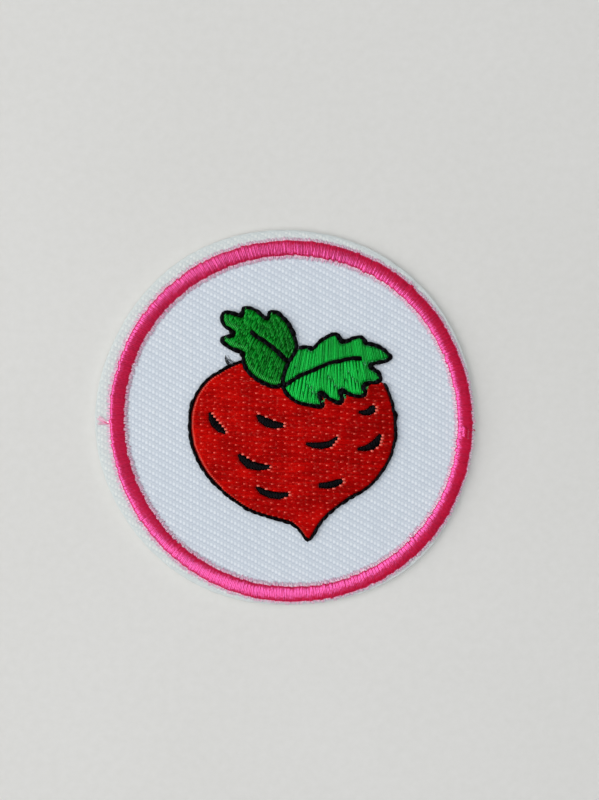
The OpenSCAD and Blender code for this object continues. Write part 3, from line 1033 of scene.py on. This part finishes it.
def line_core(threads, name, height, sink=0.06, tone=0.1, narrow=0.7):
    """The line's own solid, kept low and drawn in to its middle, under its stitches."""
    points, triangles = solid(name)
    points = points.copy()
    middle = dense(crest(name), 0.1)
    for p in points:
        nearest = middle[np.argmin(np.linalg.norm(middle - p[:2], axis=1))]
        p[:2] = nearest + (p[:2] - nearest) * narrow
    low, high = points[:, 2].min(), points[:, 2].max()
    points[:, 2] = low - sink + (points[:, 2] - low) * (height + sink) / (high - low)
    threads.core(points, triangles, tone)


# name: (stitch length, half width, spread of the passes, bulge, width of the core)
LINES = {
    "berry_outline": (1.05, 0.135, 0.075, 0.06, 0.55),
    "leaf_left_outline": (0.95, 0.165, 0.13, 0.04, 0.8),
    "leaf_right_outline": (0.95, 0.165, 0.13, 0.04, 0.8),
    "leaf_left_vein": (1.2, 0.165, 0.16, 0.03, 0.8),
    "leaf_right_vein": (1.2, 0.16, 0.13, 0.02, 0.8),
}
# short stitches where lines meet, and across the notches of the right leaf
JOINTS = {
    "leaf_left_vein": [[(-0.35, 7.90), (0.05, 7.62), (0.40, 7.35)]],
    "leaf_right_outline": [
        [(-0.45, 4.25), (0.0, 4.02), (0.25, 3.45)], [(-0.05, 4.85), (0.10, 4.40), (0.02, 3.95)],
        [(4.62, 3.25), (5.20, 2.78)], [(4.60, 2.92), (5.25, 3.02)], [(4.85, 2.62), (5.50, 2.66)],
        [(7.35, 3.38), (7.95, 3.10)], [(7.55, 2.85), (8.15, 2.72)], [(10.35, 4.05), (10.80, 3.62)]],
    "berry_outline": [
        [(-6.25, 7.15), (-5.90, 7.33), (-5.55, 7.42)], [(14.50, 0.75), (14.80, 0.15), (14.62, -0.40)]],
}


def outlines():
    for name, (step, half, spread, bulge, narrow) in LINES.items():
        threads = Threads()
        vein = name.endswith("vein")
        top = TWILL_TOP + (0.47 if vein else 0.51)
        low = TWILL_TOP + (0.38 if vein else 0.32)
        line_core(threads, name, 0.40 if vein else 0.36, narrow=narrow)
        run_stitches(threads, crest(name), step, top, low, half, spread, bulge)
        for path in JOINTS.get(name, []):
            run_stitches(threads, np.array(path), 0.8, top - 0.03, TWILL_TOP + 0.05, half, spread * 0.8)
        threads.build(name + "_threads", BLACK, "dark_thread", name)


outlines()


# Seeds: satin stitches across each crescent
def seed(name):
    threads = Threads()
    points, triangles = solid(name)
    low = points[:, 2].min()
    core = points.copy()
    core[:, 2] = low - 0.04 + (points[:, 2] - low) * 0.45
    threads.core(core, triangles, 0.2)
    way = np.linalg.svd(points[:, :2] - points[:, :2].mean(0), full_matrices=False)[2][0]
    way = way if way[0] > 0 else -way
    across = np.array([-way[1], way[0]])
    loops = [dense(l, 0.15) for l in flat_loops(name, foot=True)]
    turned = [np.column_stack([l @ across, l @ way]) for l in loops]
    top = top_of(name) - 0.07
    for i, v, a, b in rows_of(turned, 0.19, 0.06):
        if b - a < 0.2:
            continue
        slant = (0.5 - i % 2) * 0.14
        p, q = across * a + way * (v - slant), across * b + way * (v + slant)
        threads.add(stitch(p, q, low + 0.02, top - 0.1 * max(0, 0.6 - (b - a)), 0.25, 0.2), 0.13, 0.075)
    threads.build(name + "_threads", BLACK, "dark_thread", name)


for k in range(1, 9):
    seed(f"seed_{k}")


# Loose ends and stray stitches
def ring_end(crimson, pink):
    """A thread end of the ring, frayed out over the left margin."""
    ground = TWILL_TOP + 0.03
    for k in range(4):
        side = 0.05 * (k - 1.5)
        crimson.strand([(-22.5, -0.80 + side, ground + 0.26), (-23.1, -0.82 + side, ground + 0.10),
                        (-23.6, -0.66 + side, ground + 0.07),
                        (-24.0 - 0.1 * k, -0.42 + side, ground + 0.03)], 0.045, 0.6, 0.2)
    for k in range(40):
        lean, low = rng.normal(0, 0.13), rng.random() < 0.35
        tip = (-24.1 - 0.65 * rng.random(), (-0.88 if low else -0.12) + 1.6 * lean,
               ground + 0.04 * rng.random())
        root = (-22.9 - 0.5 * rng.random(), -0.80 + 0.5 * lean, ground + 0.06 + 0.05 * rng.random())
        bend = (-23.6, (-0.88 if low else -0.60) + lean, ground + 0.04 + 0.05 * rng.random())
        pink.strand([root, bend, tip], 0.026)


def ring_joint(crimson):
    """Start and finish of the ring, at its right: slanted stitches on top, and a short end."""
    x = np.linspace(0, 1, 10)
    z = TWILL_TOP + 0.22 + 0.46 * ease(x / 0.62) - 0.25 * ease((x - 0.62) / 0.38)
    for k in range(6):
        a0 = math.radians(-1.2 - 0.55 * k)
        a1 = a0 - math.radians(1.7 + 0.3 * rng.random())
        r0, r1 = radius_at(RING_IN, a0) + 0.10, radius_at(RING_OUT, a1) - 0.40
        crimson.add(round_ring(a0 + (a1 - a0) * x, r0 + (r1 - r0) * x, z), 0.13, 0.07, worn=0.5)
    crimson.strand([(24.0, -1.30, TWILL_TOP + 0.40), (24.5, -1.48, TWILL_TOP + 0.24),
                    (24.85, -1.62, TWILL_TOP + 0.12), (25.08, -1.80, TWILL_TOP - 0.02)], 0.10, tone=0.0)


def dark_ends(black):
    """Fine dark ends where the fruit's outline starts."""
    for k in range(18):
        along = rng.random() ** 2
        tip = np.array([-7.98 + 0.22 * rng.random() + 0.5 * along, 8.35 - 0.90 * rng.random(), 1.22])
        foot = np.array([-7.50 + 1.2 * along, 6.80 + 0.42 * along, 1.46])
        black.strand([foot, foot * 0.55 + tip * 0.45 + (-0.08, 0.0, 0.02), tip], 0.026)


# (x, y, turn) of the curled ends of green thread in the notches of the right leaf
CURLS = [(5.36, 2.36, 1.0), (5.05, 2.05, 0.2), (7.93, 2.92, 0.6), (8.12, 2.62, 1.4), (10.98, 3.86, 1.2)]


def green_ends(green):
    z = np.array([1.60, 1.68, 1.73, 1.74, 1.70, 1.62])
    for x, y, turn in CURLS:
        for k in range(2):
            a = np.linspace(3.3, 0.1, 6) + turn + rng.normal(0, 0.3)
            r, off = 0.13 + 0.09 * rng.random(), rng.normal(0, 0.06, 2)
            green.strand(np.column_stack([x + off[0] + r * np.cos(a), y + off[1] + r * np.sin(a), z]),
                         0.036, 0.5)


def loose_ends():
    crimson, pink, black, green = Threads(5), Threads(5), Threads(5), Threads(5)
    ring_end(crimson, pink)
    ring_joint(crimson)
    dark_ends(black)
    green_ends(green)
    crimson.build("ring_thread_ends", RING, "ring_thread")
    pink.build("pale_thread_ends", PINK, "ring_thread")
    black.build("dark_thread_ends", BLACK, "dark_thread")
    green.build("green_thread_ends", GREEN_R, "right_leaf_thread")


loose_ends()

# Film on the back
for material_slot in nodes["adhesive_back"].material_slots:
    material_slot.material = FILM


# Floor
def floor(n=24, half=1.2, z=-0.00002):
    """A square grid just under the patch."""
    mesh = bpy.data.meshes.new("floor")
    m = n + 1
    points = [((i / n * 2 - 1) * half, (j / n * 2 - 1) * half, z) for j in range(m) for i in range(m)]
    faces = [(j * m + i, j * m + i + 1, (j + 1) * m + i + 1, (j + 1) * m + i)
             for j in range(n) for i in range(n)]
    mesh.from_pydata(points, [], faces)
    mesh.materials.append(FLOOR)
    obj = bpy.data.objects.new("floor", mesh)
    bpy.context.scene.collection.objects.link(obj)


floor()
